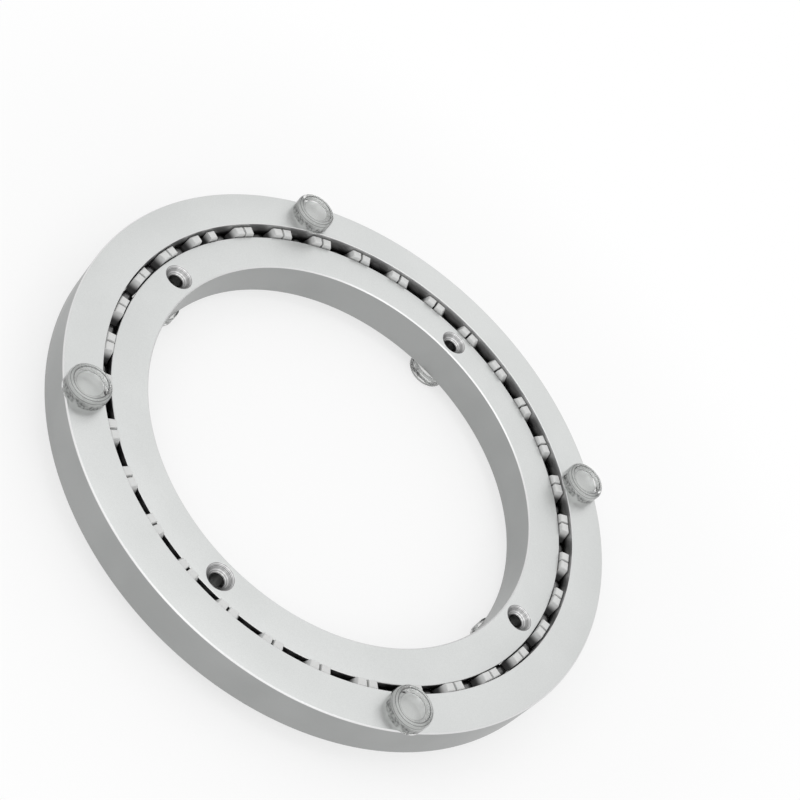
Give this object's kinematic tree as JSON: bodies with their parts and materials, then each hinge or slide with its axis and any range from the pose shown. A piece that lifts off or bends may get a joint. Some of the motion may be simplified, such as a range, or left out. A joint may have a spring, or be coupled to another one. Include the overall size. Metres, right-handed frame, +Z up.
{
  "type": "lazy susan bearing",
  "caption": "Flat aluminium turntable ring bearing: two stepped rings on caged steel balls, countersunk screw holes in the inner ring, clear pads above and clear feet below.",
  "frame": {"origin": "centre of the bearing on the surface under its feet", "axes": "+Z up along the turning axis, +X through one screw hole"},
  "size_m": [0.14, 0.14, 0.0182],
  "materials": {
    "ring_aluminium": "satin turned aluminium with broken edges",
    "cage_nylon": "moulded natural nylon",
    "ball_steel": "ground and polished steel",
    "clear_bumper": "clear soft plastic, glossy"
  },
  "bodies": {
    "inner_ring": {"inner_ring": "ring_aluminium", "foot_1": "clear_bumper", "foot_2": "clear_bumper", "foot_3": "clear_bumper", "foot_4": "clear_bumper"},
    "outer_ring": {"outer_ring": "ring_aluminium", "pad_1": "clear_bumper", "pad_2": "clear_bumper", "pad_3": "clear_bumper", "pad_4": "clear_bumper"},
    "cage": {"ball_cage": "cage_nylon"},
    "ball_01": {"ball_01": "ball_steel"},
    "ball_02": {"ball_02": "ball_steel"},
    "ball_03": {"ball_03": "ball_steel"},
    "ball_04": {"ball_04": "ball_steel"},
    "ball_05": {"ball_05": "ball_steel"},
    "ball_06": {"ball_06": "ball_steel"},
    "ball_07": {"ball_07": "ball_steel"},
    "ball_08": {"ball_08": "ball_steel"},
    "ball_09": {"ball_09": "ball_steel"},
    "ball_10": {"ball_10": "ball_steel"},
    "ball_11": {"ball_11": "ball_steel"},
    "ball_12": {"ball_12": "ball_steel"},
    "ball_13": {"ball_13": "ball_steel"},
    "ball_14": {"ball_14": "ball_steel"},
    "ball_15": {"ball_15": "ball_steel"},
    "ball_16": {"ball_16": "ball_steel"},
    "ball_17": {"ball_17": "ball_steel"},
    "ball_18": {"ball_18": "ball_steel"},
    "ball_19": {"ball_19": "ball_steel"},
    "ball_20": {"ball_20": "ball_steel"},
    "ball_21": {"ball_21": "ball_steel"},
    "ball_22": {"ball_22": "ball_steel"},
    "ball_23": {"ball_23": "ball_steel"},
    "ball_24": {"ball_24": "ball_steel"},
    "ball_25": {"ball_25": "ball_steel"},
    "ball_26": {"ball_26": "ball_steel"},
    "ball_27": {"ball_27": "ball_steel"},
    "ball_28": {"ball_28": "ball_steel"},
    "ball_29": {"ball_29": "ball_steel"},
    "ball_30": {"ball_30": "ball_steel"},
    "ball_31": {"ball_31": "ball_steel"},
    "ball_32": {"ball_32": "ball_steel"},
    "ball_33": {"ball_33": "ball_steel"}
  },
  "joints": [
    {"name": "outer_turn", "type": "hinge", "parent": "inner_ring", "child": "outer_ring", "pos_m": [0, 0, 0.00912], "axis": [0, 0, 1], "continuous": true},
    {"name": "cage_turn", "type": "hinge", "parent": "inner_ring", "child": "cage", "pos_m": [0, 0, 0.00912], "axis": [0, 0, 1], "continuous": true},
    {"name": "ball_01_roll", "type": "hinge", "parent": "cage", "child": "ball_01", "pos_m": [0.05919, -0.00781, 0.00912], "axis": [0, 0, 1], "continuous": true},
    {"name": "ball_02_roll", "type": "hinge", "parent": "cage", "child": "ball_02", "pos_m": [0.0596, 0.00346, 0.00912], "axis": [0, 0, 1], "continuous": true},
    {"name": "ball_03_roll", "type": "hinge", "parent": "cage", "child": "ball_03", "pos_m": [0.05789, 0.0146, 0.00912], "axis": [0, 0, 1], "continuous": true},
    {"name": "ball_04_roll", "type": "hinge", "parent": "cage", "child": "ball_04", "pos_m": [0.05411, 0.02521, 0.00912], "axis": [0, 0, 1], "continuous": true},
    {"name": "ball_05_roll", "type": "hinge", "parent": "cage", "child": "ball_05", "pos_m": [0.04841, 0.03494, 0.00912], "axis": [0, 0, 1], "continuous": true},
    {"name": "ball_06_roll", "type": "hinge", "parent": "cage", "child": "ball_06", "pos_m": [0.04098, 0.04341, 0.00912], "axis": [0, 0, 1], "continuous": true},
    {"name": "ball_07_roll", "type": "hinge", "parent": "cage", "child": "ball_07", "pos_m": [0.03209, 0.05034, 0.00912], "axis": [0, 0, 1], "continuous": true},
    {"name": "ball_08_roll", "type": "hinge", "parent": "cage", "child": "ball_08", "pos_m": [0.02206, 0.05547, 0.00912], "axis": [0, 0, 1], "continuous": true},
    {"name": "ball_09_roll", "type": "hinge", "parent": "cage", "child": "ball_09", "pos_m": [0.01124, 0.05863, 0.00912], "axis": [0, 0, 1], "continuous": true},
    {"name": "ball_10_roll", "type": "hinge", "parent": "cage", "child": "ball_10", "pos_m": [0.00003, 0.0597, 0.00912], "axis": [0, 0, 1], "continuous": true},
    {"name": "ball_11_roll", "type": "hinge", "parent": "cage", "child": "ball_11", "pos_m": [-0.01119, 0.05864, 0.00912], "axis": [0, 0, 1], "continuous": true},
    {"name": "ball_12_roll", "type": "hinge", "parent": "cage", "child": "ball_12", "pos_m": [-0.02202, 0.05549, 0.00912], "axis": [0, 0, 1], "continuous": true},
    {"name": "ball_13_roll", "type": "hinge", "parent": "cage", "child": "ball_13", "pos_m": [-0.03205, 0.05037, 0.00912], "axis": [0, 0, 1], "continuous": true},
    {"name": "ball_14_roll", "type": "hinge", "parent": "cage", "child": "ball_14", "pos_m": [-0.04095, 0.04345, 0.00912], "axis": [0, 0, 1], "continuous": true},
    {"name": "ball_15_roll", "type": "hinge", "parent": "cage", "child": "ball_15", "pos_m": [-0.04838, 0.03498, 0.00912], "axis": [0, 0, 1], "continuous": true},
    {"name": "ball_16_roll", "type": "hinge", "parent": "cage", "child": "ball_16", "pos_m": [-0.05409, 0.02526, 0.00912], "axis": [0, 0, 1], "continuous": true},
    {"name": "ball_17_roll", "type": "hinge", "parent": "cage", "child": "ball_17", "pos_m": [-0.05788, 0.01464, 0.00912], "axis": [0, 0, 1], "continuous": true},
    {"name": "ball_18_roll", "type": "hinge", "parent": "cage", "child": "ball_18", "pos_m": [-0.0596, 0.00351, 0.00912], "axis": [0, 0, 1], "continuous": true},
    {"name": "ball_19_roll", "type": "hinge", "parent": "cage", "child": "ball_19", "pos_m": [-0.05919, -0.00776, 0.00912], "axis": [0, 0, 1], "continuous": true},
    {"name": "ball_20_roll", "type": "hinge", "parent": "cage", "child": "ball_20", "pos_m": [-0.05668, -0.01874, 0.00912], "axis": [0, 0, 1], "continuous": true},
    {"name": "ball_21_roll", "type": "hinge", "parent": "cage", "child": "ball_21", "pos_m": [-0.05215, -0.02906, 0.00912], "axis": [0, 0, 1], "continuous": true},
    {"name": "ball_22_roll", "type": "hinge", "parent": "cage", "child": "ball_22", "pos_m": [-0.04576, -0.03834, 0.00912], "axis": [0, 0, 1], "continuous": true},
    {"name": "ball_23_roll", "type": "hinge", "parent": "cage", "child": "ball_23", "pos_m": [-0.03774, -0.04626, 0.00912], "axis": [0, 0, 1], "continuous": true},
    {"name": "ball_24_roll", "type": "hinge", "parent": "cage", "child": "ball_24", "pos_m": [-0.02837, -0.05253, 0.00912], "axis": [0, 0, 1], "continuous": true},
    {"name": "ball_25_roll", "type": "hinge", "parent": "cage", "child": "ball_25", "pos_m": [-0.018, -0.05692, 0.00912], "axis": [0, 0, 1], "continuous": true},
    {"name": "ball_26_roll", "type": "hinge", "parent": "cage", "child": "ball_26", "pos_m": [-0.00698, -0.05929, 0.00912], "axis": [0, 0, 1], "continuous": true},
    {"name": "ball_27_roll", "type": "hinge", "parent": "cage", "child": "ball_27", "pos_m": [0.00429, -0.05955, 0.00912], "axis": [0, 0, 1], "continuous": true},
    {"name": "ball_28_roll", "type": "hinge", "parent": "cage", "child": "ball_28", "pos_m": [0.0154, -0.05768, 0.00912], "axis": [0, 0, 1], "continuous": true},
    {"name": "ball_29_roll", "type": "hinge", "parent": "cage", "child": "ball_29", "pos_m": [0.02597, -0.05376, 0.00912], "axis": [0, 0, 1], "continuous": true},
    {"name": "ball_30_roll", "type": "hinge", "parent": "cage", "child": "ball_30", "pos_m": [0.03561, -0.04792, 0.00912], "axis": [0, 0, 1], "continuous": true},
    {"name": "ball_31_roll", "type": "hinge", "parent": "cage", "child": "ball_31", "pos_m": [0.04398, -0.04037, 0.00912], "axis": [0, 0, 1], "continuous": true},
    {"name": "ball_32_roll", "type": "hinge", "parent": "cage", "child": "ball_32", "pos_m": [0.05078, -0.03139, 0.00912], "axis": [0, 0, 1], "continuous": true},
    {"name": "ball_33_roll", "type": "hinge", "parent": "cage", "child": "ball_33", "pos_m": [0.05578, -0.02129, 0.00912], "axis": [0, 0, 1], "continuous": true}
  ],
  "couplings": [
    {"joint": "cage_turn", "follows": "outer_turn", "ratio": 0.52094},
    {"joint": "ball_01_roll", "follows": "outer_turn", "ratio": 11.919},
    {"joint": "ball_02_roll", "follows": "outer_turn", "ratio": 11.919},
    {"joint": "ball_03_roll", "follows": "outer_turn", "ratio": 11.919},
    {"joint": "ball_04_roll", "follows": "outer_turn", "ratio": 11.919},
    {"joint": "ball_05_roll", "follows": "outer_turn", "ratio": 11.919},
    {"joint": "ball_06_roll", "follows": "outer_turn", "ratio": 11.919},
    {"joint": "ball_07_roll", "follows": "outer_turn", "ratio": 11.919},
    {"joint": "ball_08_roll", "follows": "outer_turn", "ratio": 11.919},
    {"joint": "ball_09_roll", "follows": "outer_turn", "ratio": 11.919},
    {"joint": "ball_10_roll", "follows": "outer_turn", "ratio": 11.919},
    {"joint": "ball_11_roll", "follows": "outer_turn", "ratio": 11.919},
    {"joint": "ball_12_roll", "follows": "outer_turn", "ratio": 11.919},
    {"joint": "ball_13_roll", "follows": "outer_turn", "ratio": 11.919},
    {"joint": "ball_14_roll", "follows": "outer_turn", "ratio": 11.919},
    {"joint": "ball_15_roll", "follows": "outer_turn", "ratio": 11.919},
    {"joint": "ball_16_roll", "follows": "outer_turn", "ratio": 11.919},
    {"joint": "ball_17_roll", "follows": "outer_turn", "ratio": 11.919},
    {"joint": "ball_18_roll", "follows": "outer_turn", "ratio": 11.919},
    {"joint": "ball_19_roll", "follows": "outer_turn", "ratio": 11.919},
    {"joint": "ball_20_roll", "follows": "outer_turn", "ratio": 11.919},
    {"joint": "ball_21_roll", "follows": "outer_turn", "ratio": 11.919},
    {"joint": "ball_22_roll", "follows": "outer_turn", "ratio": 11.919},
    {"joint": "ball_23_roll", "follows": "outer_turn", "ratio": 11.919},
    {"joint": "ball_24_roll", "follows": "outer_turn", "ratio": 11.919},
    {"joint": "ball_25_roll", "follows": "outer_turn", "ratio": 11.919},
    {"joint": "ball_26_roll", "follows": "outer_turn", "ratio": 11.919},
    {"joint": "ball_27_roll", "follows": "outer_turn", "ratio": 11.919},
    {"joint": "ball_28_roll", "follows": "outer_turn", "ratio": 11.919},
    {"joint": "ball_29_roll", "follows": "outer_turn", "ratio": 11.919},
    {"joint": "ball_30_roll", "follows": "outer_turn", "ratio": 11.919},
    {"joint": "ball_31_roll", "follows": "outer_turn", "ratio": 11.919},
    {"joint": "ball_32_roll", "follows": "outer_turn", "ratio": 11.919},
    {"joint": "ball_33_roll", "follows": "outer_turn", "ratio": 11.919}
  ]
}
